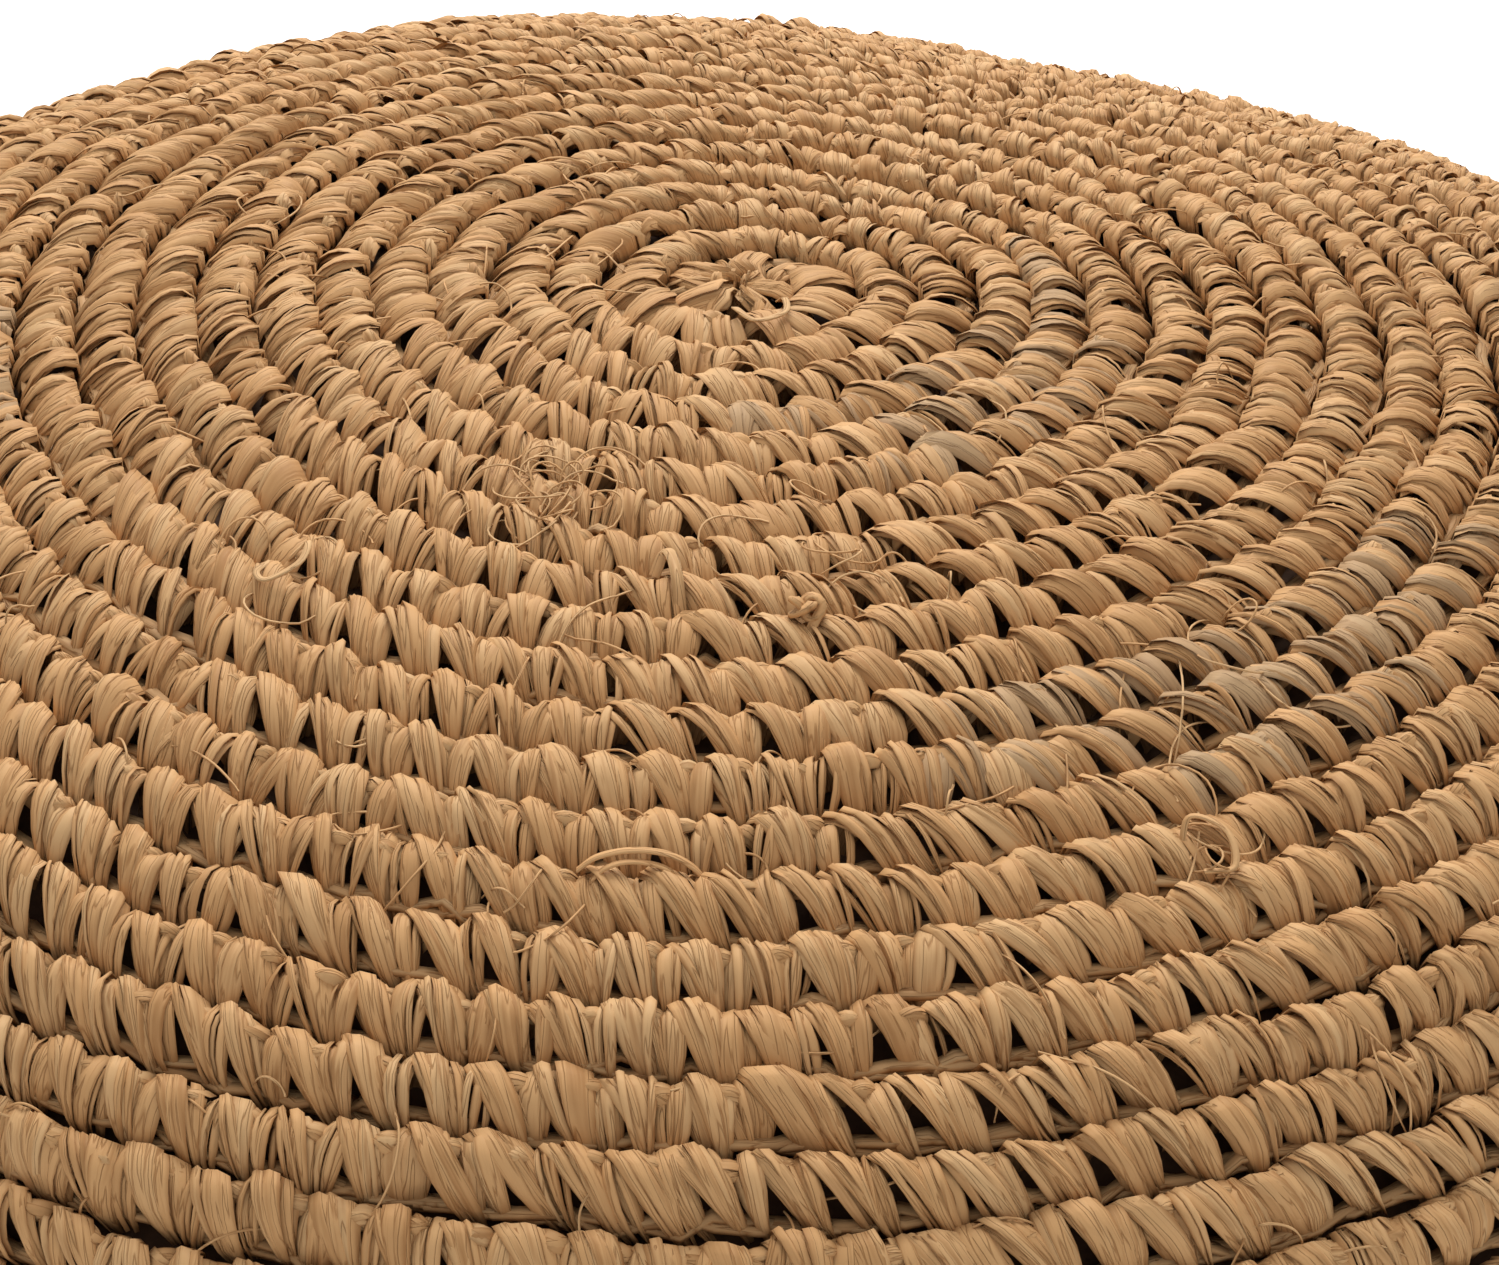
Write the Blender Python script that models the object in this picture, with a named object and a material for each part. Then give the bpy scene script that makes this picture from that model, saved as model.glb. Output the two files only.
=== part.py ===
"""Round chair seat pad: a crocheted raffia cover over a wadded foam cushion in a dark cotton case.

Metres, +Z up. The origin is the middle of the face that the pad rests on. Every piece is turned
about Z: its section is a closed outline of (radius, height) points.
"""

import math

import bmesh
import bpy

# Crochet
ROUND_PITCH = 0.0088  # width of one round of single crochet
RIDGE_DEPTH = 0.0018  # how far the groove between two rounds goes in
COVER_THICKNESS = 0.0070  # from the crest of a round to its back

# Upper face: its slope grows with the cube of the distance from the crown, then rolls over to the rim
CROWN_LENGTH = 0.1936  # from the crown to where the roll begins, along the surface
CROWN_END_SLOPE = math.radians(48.8)
RIM_ROLL_RADIUS = 0.0370

# Lower face: flat where it rests, then it curls up to the rim
RESTING_RADIUS = 0.1070
UNDERSIDE_HEIGHT = 0.0340  # from the resting face up to the widest part of the pad
START_DISC_RADIUS = 0.0130  # the flat start of the lower spiral

# Joining round
JOIN_HEIGHT = 0.0080
JOIN_PROUD = 0.0012  # how far it stands out past the covers

# Inner cushion
CASE_THICKNESS = 0.0009
SEAM_ALLOWANCE = 0.0080
FOAM_THICKNESS = 0.0400
FOAM_EDGE_BEVEL = 0.0050
WADDING_BELOW = 0.0130  # between the slab and the lower case panel
WADDING_BESIDE = 0.0390  # between the slab and the case at the rim

GAP = 0.0003  # clearance between pieces that touch

SEGMENTS = 36
TOP_SPANS = 11  # straight spans in the smooth section of the upper face
UNDERSIDE_SPANS = 7  # the same for the curl of the lower face
FINE_STEPS = 400  # steps that a slope is summed in


def clear_scene():
    for obj in list(bpy.data.objects):
        bpy.data.objects.remove(obj, do_unlink=True)


def top_slope(distance):
    """Slope of the upper face at a distance from the crown along the surface."""
    if distance <= CROWN_LENGTH:
        return CROWN_END_SLOPE * (distance / CROWN_LENGTH) ** 3
    return CROWN_END_SLOPE + (distance - CROWN_LENGTH) / RIM_ROLL_RADIUS


def walk(slope_at, length, wanted):
    """(radius, drop, slope) at each wanted distance, summed along a slope from a flat start."""
    found = []
    radius = drop = 0.0
    step = length / FINE_STEPS
    wanted = list(wanted)
    for index in range(FINE_STEPS + 1):
        here = index * step
        while wanted and wanted[0] <= here + step / 2:
            extra = wanted[0] - here
            slope = slope_at(wanted[0])
            found.append((radius + extra * math.cos(slope), drop + extra * math.sin(slope), slope))
            wanted.pop(0)
        middle = slope_at(here + step / 2)
        radius += step * math.cos(middle)
        drop += step * math.sin(middle)
    return found


def cubic_reach():
    """Radius and height gained per unit length by a slope that grows with the cube to 90 degrees."""
    across = 0.0
    up = 0.0
    for step in range(FINE_STEPS):
        slope = math.pi / 2 * ((step + 0.5) / FINE_STEPS) ** 3
        across += math.cos(slope) / FINE_STEPS
        up += math.sin(slope) / FINE_STEPS
    return across, up


def even_steps(start, length, count):
    return [start + length * index / count for index in range(count + 1)]


TOP_LENGTH = CROWN_LENGTH + RIM_ROLL_RADIUS * (math.pi / 2 - CROWN_END_SLOPE)
PAD_RADIUS, TOP_DROP = walk(top_slope, TOP_LENGTH, [TOP_LENGTH])[0][:2]
RIM_HEIGHT = UNDERSIDE_HEIGHT
PAD_HEIGHT = UNDERSIDE_HEIGHT + TOP_DROP

# The curl of the lower face ends at both the rim's radius and the rim's height.
ACROSS, UP = cubic_reach()
CURL_LENGTH = (PAD_RADIUS - RESTING_RADIUS) / ACROSS
CURL_STRETCH = UNDERSIDE_HEIGHT / (UP * CURL_LENGTH)
UNDERSIDE_LENGTH = RESTING_RADIUS + CURL_LENGTH

TOP_STEPS = even_steps(0.0, TOP_LENGTH, TOP_SPANS)
UNDERSIDE_STEPS = even_steps(RESTING_RADIUS, CURL_LENGTH, UNDERSIDE_SPANS)

SKIN = COVER_THICKNESS + CASE_THICKNESS + 2 * GAP  # from the outside to where the wadding starts
FOAM_BOTTOM = SKIN + WADDING_BELOW
FOAM_RADIUS = PAD_RADIUS - SKIN - WADDING_BESIDE


def ridge_steps(start, length):
    """Half a round apart: the crest of a round, then the groove after it, and so on."""
    half = ROUND_PITCH / 2
    return [start + half * index for index in range(int((length - start) / half) + 1)]


def top_points(inset, distances, height_limit, groove=0.0):
    """Section of the upper face, inset along its normal, from the crown down to a height."""
    points = []
    for index, (radius, drop, slope) in enumerate(walk(top_slope, TOP_LENGTH, distances)):
        depth = inset + groove * (index % 2)
        points.append((radius - depth * math.sin(slope), PAD_HEIGHT - drop - depth * math.cos(slope)))
    return cut_at(points, height_limit)


def underside_slope(distance):
    """Slope of the lower face before it is scaled to its height."""
    return math.pi / 2 * max(0.0, (distance - RESTING_RADIUS) / CURL_LENGTH) ** 3


def underside_points(inset, distances, height_limit, groove=0.0):
    """Section of the lower face, inset along its normal, from its middle out and up to a height."""
    points = [(0.0, inset)]
    for index, (radius, rise, slope) in enumerate(walk(underside_slope, UNDERSIDE_LENGTH, distances)):
        tilt = math.atan2(math.sin(slope) * CURL_STRETCH, math.cos(slope))
        depth = inset + groove * (index % 2)
        points.append((radius - depth * math.sin(tilt), rise * CURL_STRETCH + depth * math.cos(tilt)))
    return cut_at(points, height_limit)


def cut_at(points, height):
    """The points up to where the outline crosses a height, ending exactly on it."""
    side = points[0][1] > height
    kept = [points[0]]
    for point in points[1:]:
        if (point[1] > height) != side:
            last = kept[-1]
            share = (height - last[1]) / (point[1] - last[1])
            kept.append((last[0] + share * (point[0] - last[0]), height))
            return kept
        kept.append(point)
    kept.append((kept[-1][0], height))
    return kept


def turned(name, outline, material):
    """A closed solid turned about Z from the outline's (radius, height) points."""
    mesh = bmesh.new()
    rings = []
    for radius, height in outline:
        if radius < 1e-6:
            rings.append([mesh.verts.new((0.0, 0.0, height))])
            continue
        ring = []
        for segment in range(SEGMENTS):
            angle = 2 * math.pi * segment / SEGMENTS
            ring.append(mesh.verts.new((radius * math.cos(angle), radius * math.sin(angle), height)))
        rings.append(ring)
    for index, ring in enumerate(rings):
        following = rings[(index + 1) % len(rings)]
        if len(ring) == 1 and len(following) == 1:
            continue
        for segment in range(SEGMENTS):
            after = (segment + 1) % SEGMENTS
            corners = [ring[segment % len(ring)], ring[after % len(ring)]]
            corners += [following[after % len(following)], following[segment % len(following)]]
            mesh.faces.new(list(dict.fromkeys(corners)))
    bmesh.ops.recalc_face_normals(mesh, faces=mesh.faces)
    data = bpy.data.meshes.new(name)
    mesh.to_mesh(data)
    mesh.free()
    data.shade_smooth()
    data.set_sharp_from_angle(angle=math.radians(40))
    data.materials.append(material)
    obj = bpy.data.objects.new(name, data)
    bpy.context.scene.collection.objects.link(obj)
    return obj


def material(name, colour, roughness):
    made = bpy.data.materials.new(name)
    made.use_nodes = True
    shader = made.node_tree.nodes["Principled BSDF"]
    shader.inputs["Base Color"].default_value = (*colour, 1.0)
    shader.inputs["Roughness"].default_value = roughness
    shader.inputs["Metallic"].default_value = 0.0
    made.diffuse_color = (*colour, 1.0)
    return made


def raffia_top(straw):
    low = RIM_HEIGHT + JOIN_HEIGHT / 2 + GAP
    outer = top_points(0.0, ridge_steps(0.0, TOP_LENGTH), low, groove=RIDGE_DEPTH)
    inner = top_points(COVER_THICKNESS, TOP_STEPS, low)
    return turned("raffia_top", outer + inner[::-1], straw)


def raffia_underside(straw):
    high = RIM_HEIGHT - JOIN_HEIGHT / 2 - GAP
    steps = ridge_steps(START_DISC_RADIUS, UNDERSIDE_LENGTH)
    outer = underside_points(0.0, steps, high, groove=RIDGE_DEPTH)
    inner = underside_points(COVER_THICKNESS, UNDERSIDE_STEPS, high)
    return turned("raffia_underside", outer + inner[::-1], straw)


def rim_join(straw):
    """The joining round: a ring with a rounded outer side, as deep as the covers are thick."""
    inner = PAD_RADIUS - COVER_THICKNESS
    half = JOIN_HEIGHT / 2
    outline = [(inner, RIM_HEIGHT + half), (inner, RIM_HEIGHT - half)]
    for share in (-1.0, -0.5, 0.0, 0.5, 1.0):
        bulge = JOIN_PROUD * (1 - share**2)
        outline.append((PAD_RADIUS + bulge, RIM_HEIGHT + share * half))
    return turned("rim_join", outline, straw)


def inner_case_top(cotton):
    outside = COVER_THICKNESS + GAP
    inside = outside + CASE_THICKNESS
    low = RIM_HEIGHT + GAP / 2
    outer = top_points(outside, TOP_STEPS, low)
    flange_edge = outer[-1][0] - SEAM_ALLOWANCE
    inner = top_points(inside, TOP_STEPS, low + CASE_THICKNESS)
    flange = [(flange_edge, low), (flange_edge, low + CASE_THICKNESS)]
    return turned("inner_case_top", outer + flange + inner[::-1], cotton)


def inner_case_underside(cotton):
    outside = COVER_THICKNESS + GAP
    inside = outside + CASE_THICKNESS
    high = RIM_HEIGHT - GAP / 2
    outer = underside_points(outside, UNDERSIDE_STEPS, high)
    flange_edge = outer[-1][0] - SEAM_ALLOWANCE
    inner = underside_points(inside, UNDERSIDE_STEPS, high - CASE_THICKNESS)
    flange = [(flange_edge, high), (flange_edge, high - CASE_THICKNESS)]
    return turned("inner_case_underside", outer + flange + inner[::-1], cotton)


def wadding_top(fibre):
    low = RIM_HEIGHT + CASE_THICKNESS + 2 * GAP
    side = FOAM_RADIUS + GAP
    ceiling = FOAM_BOTTOM + FOAM_THICKNESS + GAP
    pocket = [(side, low), (side, ceiling), (0.0, ceiling)]
    return turned("wadding_top", top_points(SKIN, TOP_STEPS, low) + pocket, fibre)


def wadding_underside(fibre):
    high = RIM_HEIGHT - CASE_THICKNESS - 2 * GAP
    side = FOAM_RADIUS + GAP
    floor = FOAM_BOTTOM - GAP
    pocket = [(side, high), (side, floor), (0.0, floor)]
    return turned("wadding_underside", underside_points(SKIN, UNDERSIDE_STEPS, high) + pocket, fibre)


def foam_core(foam):
    top = FOAM_BOTTOM + FOAM_THICKNESS
    edge = FOAM_RADIUS - FOAM_EDGE_BEVEL
    outline = [
        (0.0, top),
        (edge, top),
        (FOAM_RADIUS, top - FOAM_EDGE_BEVEL),
        (FOAM_RADIUS, FOAM_BOTTOM + FOAM_EDGE_BEVEL),
        (edge, FOAM_BOTTOM),
        (0.0, FOAM_BOTTOM),
    ]
    return turned("foam_core", outline, foam)


def build():
    clear_scene()
    straw = material("straw_raffia", (0.58, 0.38, 0.19), 0.62)
    raffia_top(straw)
    straw_below = material("straw_raffia_underside", (0.55, 0.36, 0.18), 0.64)
    raffia_underside(straw_below)
    rim_join(material("straw_raffia_join", (0.56, 0.37, 0.18), 0.62))
    inner_case_top(material("dark_cotton_top", (0.022, 0.016, 0.012), 0.9))
    inner_case_underside(material("dark_cotton_underside", (0.022, 0.016, 0.012), 0.9))
    wadding_top(material("wadding_fibre_top", (0.86, 0.86, 0.84), 0.95))
    wadding_underside(material("wadding_fibre_underside", (0.86, 0.86, 0.84), 0.95))
    foam_core(material("cream_foam", (0.82, 0.76, 0.58), 0.9))


build()
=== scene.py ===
import math

import bmesh
import bpy
import numpy as np
from mathutils import Matrix, Vector


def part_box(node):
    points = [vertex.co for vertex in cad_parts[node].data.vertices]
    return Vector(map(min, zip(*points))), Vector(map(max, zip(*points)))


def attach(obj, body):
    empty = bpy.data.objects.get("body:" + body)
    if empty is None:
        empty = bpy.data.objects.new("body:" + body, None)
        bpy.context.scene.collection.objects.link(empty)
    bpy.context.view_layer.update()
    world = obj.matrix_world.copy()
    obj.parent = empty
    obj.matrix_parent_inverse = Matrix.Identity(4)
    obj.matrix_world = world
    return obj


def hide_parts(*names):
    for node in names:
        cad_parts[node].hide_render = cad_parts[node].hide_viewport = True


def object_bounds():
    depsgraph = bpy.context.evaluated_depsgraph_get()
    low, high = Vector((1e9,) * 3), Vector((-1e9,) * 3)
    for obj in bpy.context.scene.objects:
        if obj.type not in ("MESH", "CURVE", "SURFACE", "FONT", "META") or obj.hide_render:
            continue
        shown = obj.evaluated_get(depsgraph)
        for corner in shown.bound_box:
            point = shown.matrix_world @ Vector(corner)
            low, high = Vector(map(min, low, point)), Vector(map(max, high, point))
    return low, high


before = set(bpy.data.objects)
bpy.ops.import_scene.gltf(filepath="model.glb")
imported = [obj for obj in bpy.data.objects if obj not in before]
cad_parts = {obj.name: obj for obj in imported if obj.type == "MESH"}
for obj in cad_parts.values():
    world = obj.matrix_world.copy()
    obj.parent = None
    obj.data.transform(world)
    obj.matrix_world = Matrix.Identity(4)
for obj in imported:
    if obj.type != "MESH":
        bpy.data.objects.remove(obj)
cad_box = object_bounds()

# The work, in metres. The same law as the frame's solids: a slope that grows with the cube of the
# distance from the middle, then rolls over to the rim.
ROUND_PITCH = 0.0088
STITCH_PITCH = 0.85 * ROUND_PITCH
CROWN_LENGTH = 22 * ROUND_PITCH
CROWN_END_SLOPE = math.radians(48.8)
RIM_ROLL_RADIUS = 0.0370
RESTING_RADIUS = 0.1070
CREST_HEIGHT = 0.30 * ROUND_PITCH  # from the mean surface of the work up to the crest of a round
FINE_STEP = 0.0002  # along the upper face's section
FLAT_STEP = 0.001  # along the flat of the lower face's section
CURL_STEPS = 600  # along the rest of it, up to the rim

CROWN_TOP = cad_box[1][2]
RIM_HEIGHT = (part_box("rim_join")[0].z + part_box("rim_join")[1].z) / 2
RANDOM = np.random.default_rng(7)


# ---------------------------------------------------------------- node trees


class Field:
    """An output of a node, which can stand in a sum so that a formula in a tree reads as one."""

    def __init__(self, tree, socket):
        self.tree = tree
        self.socket = socket

    def sum(self, operation, *others):
        node = self.tree.nodes.new("ShaderNodeMath")
        node.operation = operation
        for slot, value in zip(node.inputs, (self, *others)):
            feed(self.tree, slot, value)
        return Field(self.tree, node.outputs[0])

    def __add__(self, other):
        return self.sum("ADD", other)

    __radd__ = __add__

    def __mul__(self, other):
        return self.sum("MULTIPLY", other)

    __rmul__ = __mul__

    def __sub__(self, other):
        return self.sum("SUBTRACT", other)

    def __rsub__(self, other):
        return (self * -1.0) + other

    def __truediv__(self, other):
        return self.sum("DIVIDE", other)


def feed(tree, slot, value):
    if isinstance(value, Field):
        tree.links.new(value.socket, slot)
    else:
        slot.default_value = value


class Steps:
    """Adds nodes to a tree and wires their inputs by name."""

    def __init__(self, tree):
        self.tree = tree

    def node(self, kind, inputs=None, **settings):
        node = self.tree.nodes.new(kind)
        for name, value in settings.items():
            setattr(node, name, value)
        for name, value in (inputs or {}).items():
            feed(self.tree, find_slot(node.inputs, name), value)
        return node

    def out(self, kind, inputs=None, output=0, **settings):
        node = self.node(kind, inputs, **settings)
        return Field(self.tree, find_slot(node.outputs, output))

    def named(self, name, data_type="FLOAT"):
        return self.out("GeometryNodeInputNamedAttribute", {"Name": name}, data_type=data_type)

    def store(self, geometry, name, value, data_type="FLOAT", domain="POINT"):
        inputs = {"Geometry": geometry, "Name": name, "Value": value}
        return self.out("GeometryNodeStoreNamedAttribute", inputs, data_type=data_type, domain=domain)

    def mix(self, share, first, second):
        """first where share is 0 and second where it is 1."""
        return first + share * (second - first)

    def chance(self, low, high, key, seed):
        """A random number for each key."""
        inputs = {"Min": low, "Max": high, "ID": key, "Seed": seed}
        return self.out("FunctionNodeRandomValue", inputs, data_type="FLOAT")

    def curve(self, value, points):
        """Reads value along a line through given (x, y) points between 0 and 1."""
        node = self.node("ShaderNodeFloatCurve", {"Value": value})
        line = node.mapping.curves[0]
        for place, point in zip(line.points, (points[0], points[-1])):
            place.location = point
        for point in points[1:-1]:
            line.points.new(*point)
        node.mapping.update()
        return Field(self.tree, node.outputs[0])

    def split(self, vector):
        node = self.node("ShaderNodeSeparateXYZ", {"Vector": vector})
        return [Field(self.tree, socket) for socket in node.outputs]

    def join(self, x, y, z):
        return self.out("ShaderNodeCombineXYZ", {"X": x, "Y": y, "Z": z})


def find_slot(slots, name):
    """The slot of that name, or of that number, that the node's settings leave in use."""
    if isinstance(name, int):
        return [slot for slot in slots if slot.enabled][name]
    return next(slot for slot in slots if slot.name == name and slot.enabled)


def add_object(name, data):
    obj = bpy.data.objects.new(name, data)
    bpy.context.scene.collection.objects.link(obj)
    return obj


def new_tree(name, inputs):
    """A Geometry Nodes tree with the named inputs, and a Field for each of them."""
    tree = bpy.data.node_groups.new(name, "GeometryNodeTree")
    for label, kind in inputs:
        tree.interface.new_socket(label, in_out="INPUT", socket_type=kind)
    tree.interface.new_socket("Geometry", in_out="OUTPUT", socket_type="NodeSocketGeometry")
    entry = tree.nodes.new("NodeGroupInput")
    fields = {label: Field(tree, entry.outputs[label]) for label, kind in inputs}
    return tree, Steps(tree), fields


def close_tree(tree, geometry, material):
    """Ends a tree in Realize Instances and Set Material."""
    steps = Steps(tree)
    whole = steps.out("GeometryNodeRealizeInstances", {"Geometry": geometry})
    painted = steps.out("GeometryNodeSetMaterial", {"Geometry": whole, "Material": material})
    leave = tree.nodes.new("NodeGroupOutput")
    tree.links.new(painted.socket, leave.inputs[0])


def run_tree(name, tree, source, values):
    """A plain mesh object of what the tree makes from the source object."""
    modifier = source.modifiers.new("make", "NODES")
    modifier.node_group = tree
    for item in tree.interface.items_tree:
        if item.in_out == "INPUT" and item.name in values:
            modifier[item.identifier] = values[item.name]
    bpy.context.view_layer.update()
    graph = bpy.context.evaluated_depsgraph_get()
    mesh = bpy.data.meshes.new_from_object(
        source.evaluated_get(graph), preserve_all_data_layers=True, depsgraph=graph
    )
    mesh.name = name
    source.modifiers.remove(modifier)
    return add_object(name, mesh)


# ---------------------------------------------------------------- the pad's surface


def summed(steps):
    """The sum of all earlier steps, at each step."""
    return np.concatenate([[0.0], np.cumsum(steps)[:-1]])


def top_slope(distance):
    """Slope of the upper face at a distance from the crown along the surface."""
    if distance <= CROWN_LENGTH:
        return CROWN_END_SLOPE * (distance / CROWN_LENGTH) ** 3
    return CROWN_END_SLOPE + (distance - CROWN_LENGTH) / RIM_ROLL_RADIUS


TOP_LENGTH = CROWN_LENGTH + RIM_ROLL_RADIUS * (math.pi / 2 - CROWN_END_SLOPE)


def top_section():
    """(radius, height) of the upper face's mean surface, from the crown to the rim."""
    places = np.arange(0.0, TOP_LENGTH + FINE_STEP, FINE_STEP)
    slopes = np.array([top_slope(place) for place in places + FINE_STEP / 2])
    radius = summed(np.cos(slopes) * FINE_STEP)
    drop = summed(np.sin(slopes) * FINE_STEP)
    return radius - CREST_HEIGHT * np.sin(slopes), CROWN_TOP - drop - CREST_HEIGHT * np.cos(slopes)


def lengths_along(section):
    """How far each point of a section is from its first one, measured along the section."""
    radius, height = section
    return np.concatenate([[0.0], np.cumsum(np.hypot(np.diff(radius), np.diff(height)))])


def slopes_along(section):
    """The angle at which a section rises, at each of its points."""
    radius, height = section
    return np.arctan2(np.gradient(height), np.gradient(radius))


def underside_section():
    """(radius, height) of the lower face's mean surface, from its middle to the rim."""
    rim = top_section()[0][-1] + CREST_HEIGHT
    slopes = math.pi / 2 * np.linspace(0.0, 1.0, CURL_STEPS) ** 3
    across = summed(np.cos(slopes))
    rise = summed(np.sin(slopes))
    across *= (rim - RESTING_RADIUS) / across[-1]
    rise *= RIM_HEIGHT / rise[-1]
    tilt = slopes_along((across, rise))
    flat = np.arange(0.0, RESTING_RADIUS, FLAT_STEP)
    radius = np.concatenate([flat, RESTING_RADIUS + across - CREST_HEIGHT * np.sin(tilt)])
    height = np.concatenate([flat * 0.0 + CREST_HEIGHT, rise + CREST_HEIGHT * np.cos(tilt)])
    return radius, height


# Where the filling has settled: (x, y, reach, lift)
SETTLING = [
    (0.056, 0.135, 0.085, -0.0100),
    (-0.160, 0.030, 0.070, 0.0090),
]
PRESSED = 0.0025  # what lies lower than this is pressed flatter by the floor


def settle(piece):
    """Lets a piece follow the filling where it has swollen or sunk, and rests it on the floor."""
    count = len(piece.data.vertices)
    places = np.empty(count * 3, np.float32)
    piece.data.vertices.foreach_get("co", places)
    places = places.reshape(-1, 3)
    share = np.clip(places[:, 2] / CROWN_TOP, 0.0, 1.0)
    for x, y, reach, lift in SETTLING:
        away = ((places[:, 0] - x) ** 2 + (places[:, 1] - y) ** 2) / reach**2
        places[:, 2] += lift * np.exp(-away) * share
    low = places[:, 2] < PRESSED
    places[low, 2] = PRESSED * np.exp(places[low, 2] / PRESSED - 1.0)
    piece.data.vertices.foreach_set("co", places.ravel())
    piece.data.update()


def line_object(name, points):
    """A curve of one open line, which a tree reads as a guide."""
    data = bpy.data.curves.new(name, "CURVE")
    data.dimensions = "3D"
    spline = data.splines.new("POLY")
    spline.points.add(len(points) - 1)
    for place, point in zip(spline.points, points):
        place.co = (*point, 1.0)
    return add_object(name, data)


def smooth_line(points, count):
    """A curve through given points, by Catmull-Rom."""
    points = np.array(points, float)
    padded = np.vstack([2 * points[0] - points[1], points, 2 * points[-1] - points[-2]])
    found = []
    for share in np.linspace(0, len(points) - 1 - 1e-9, count):
        index = int(share)
        t = share - index
        a, b, c, d = padded[index : index + 4]
        square = 2 * a - 5 * b + 4 * c - d
        cube = 3 * b - a - 3 * c + d
        found.append(0.5 * (2 * b + (c - a) * t + square * t**2 + cube * t**3))
    return found


# ---------------------------------------------------------------- stitches along the spiral

# Where the leaf that the upper face is worked from is greyish green, in rounds
GREY_STRETCHES = [
    (4.30, 4.52),
    (5.20, 5.46),
    (6.32, 6.46),
    (12.34, 12.47),
    (12.69, 12.74),
    (13.34, 13.47),
    (14.38, 14.44),
]
FIRST_STITCHES = 6  # worked into the ring at the middle
# Where the stitches of the first two rounds come up: (round, rounds from the middle)
START = [(0.0, 0.0), (0.6, 0.04), (1.0, 0.34), (1.5, 1.02), (2.0, 1.72)]
CREST_PLACE = 0.28  # how far inwards of its round's line a stitch comes up
LEAN = 0.22  # how far a stitch sits to the right of the one it is worked into, in stitches
FOOT_ROOM = 0.13  # from a stitch's edge to the middle of its leg's foot, in stitches
FAN_LIMIT = 1.45  # how wide the feet of a stitch with two guests may stand, in stitches
STRAY = 0.55  # how far a stitch may lag before the next one is worked into the same place
PLAY = 0.1  # how closely the hand keeps to its places, in stitches
UNEVEN = 0.12  # how much longer or shorter than the mean a stitch may be
EASE = 0.35  # a stitch is longer by this over its round, which tells in the tight first rounds
CATCH_UP = 0.25  # the part of a lead that a stitch gives back
SHORTEST_REACH = 0.85  # from one round to the next, past the first rounds
NARROWEST_FAN = 0.8  # the least width of a leg's foot, as a share of the usual
PAST_THE_LAST = 1.8  # rounds worked past the last one, so that all its stitches have guests
CLOSING = 0.6  # the part of them that is kept, to close the spiral to a ring
STITCH_VALUES = ("turn", "angle", "span", "reach", "foot_left", "foot_right", "fan", "grey", "stitch")


def worked_spiral(per_round, last_round):
    """Works one stitch after another: where each begins, in rounds, and which one it is worked into."""
    begins = [0.0]
    worked_into = []
    rounds = 0.0
    host = None

    def ahead(stitch):
        """How far the next stitch is ahead of its place over an earlier stitch, in stitches."""
        return (rounds - 1.0 - begins[stitch]) * per_round(rounds) + LEAN

    while rounds < last_round:
        stretch = 0.0
        if rounds > 1.0:
            if host is None:
                host = int(np.searchsorted(begins, rounds - 1.0))
            elif ahead(host + 1) > RANDOM.uniform(-PLAY, PLAY) - STRAY:
                host += 1
            stretch = EASE / rounds - CATCH_UP * max(ahead(host) - PLAY, 0.0)
        worked_into.append(host)
        rounds += (1.0 + stretch + RANDOM.uniform(-UNEVEN, UNEVEN)) / per_round(rounds)
        begins.append(rounds)
    return np.array(begins), worked_into


def spiral(section, last_round):
    """Where each stitch of a spiral comes up, and where its two legs go down.

    The last round closes to a ring.
    """
    length = lengths_along(section)

    def per_round(rounds):
        around = 2 * math.pi * np.interp(rounds * ROUND_PITCH, length, section[0]) / STITCH_PITCH
        return max(around, FIRST_STITCHES)

    def comes_up(rounds):
        if rounds < START[-1][0]:
            return np.interp(rounds, *zip(*START))
        return min(rounds, last_round) - CREST_PLACE

    begins, worked_into = worked_spiral(per_round, last_round + PAST_THE_LAST)
    first_guest = {}
    last_guest = {}
    for guest, host in enumerate(worked_into):
        if host is not None:
            first_guest.setdefault(host, guest)
            last_guest[host] = guest
    values = {label: [] for label in STITCH_VALUES}
    for stitch in range(len(worked_into)):
        if begins[stitch] > last_round + CLOSING:
            break
        left = begins[stitch + 1]
        around = per_round(left + 1.0)
        left_edge = -LEAN
        right_edge = -1.0 - LEAN
        if stitch in first_guest:
            left_edge = (begins[last_guest[stitch] + 1] - left - 1.0) * around
            right_edge = (begins[first_guest[stitch]] - left - 1.0) * around
        reach = comes_up(left + 1.0) - comes_up(left)
        if left > START[-1][0]:
            reach = max(reach, SHORTEST_REACH)
        middle = -(left_edge + right_edge) / 2
        spread = min(left_edge - right_edge, FAN_LIMIT) / 2 - FOOT_ROOM
        values["turn"].append(comes_up(left))
        values["angle"].append(-2 * math.pi * left + math.pi / 2)
        values["span"].append((left - begins[stitch]) * per_round(left))
        values["reach"].append(reach)
        values["foot_left"].append(middle - spread)
        values["foot_right"].append(middle + spread)
        values["fan"].append(max(spread / (0.5 - FOOT_ROOM), NARROWEST_FAN))
        values["grey"].append(float(any(start < left < end for start, end in GREY_STRETCHES)))
        values["stitch"].append(stitch)
    return values


def stitch_points(name, values):
    """A mesh with one loose point for each stitch, holding the stitch's values."""
    mesh = bpy.data.meshes.new(name)
    amount = len(values["turn"])
    mesh.vertices.add(amount)
    for label, numbers in values.items():
        kind = "INT" if label == "stitch" else "FLOAT"
        layer = mesh.attributes.new(label, kind, "POINT")
        layer.data.foreach_set("value", np.asarray(numbers, np.int32 if kind == "INT" else np.float32))
    return add_object(name, mesh)


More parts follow.
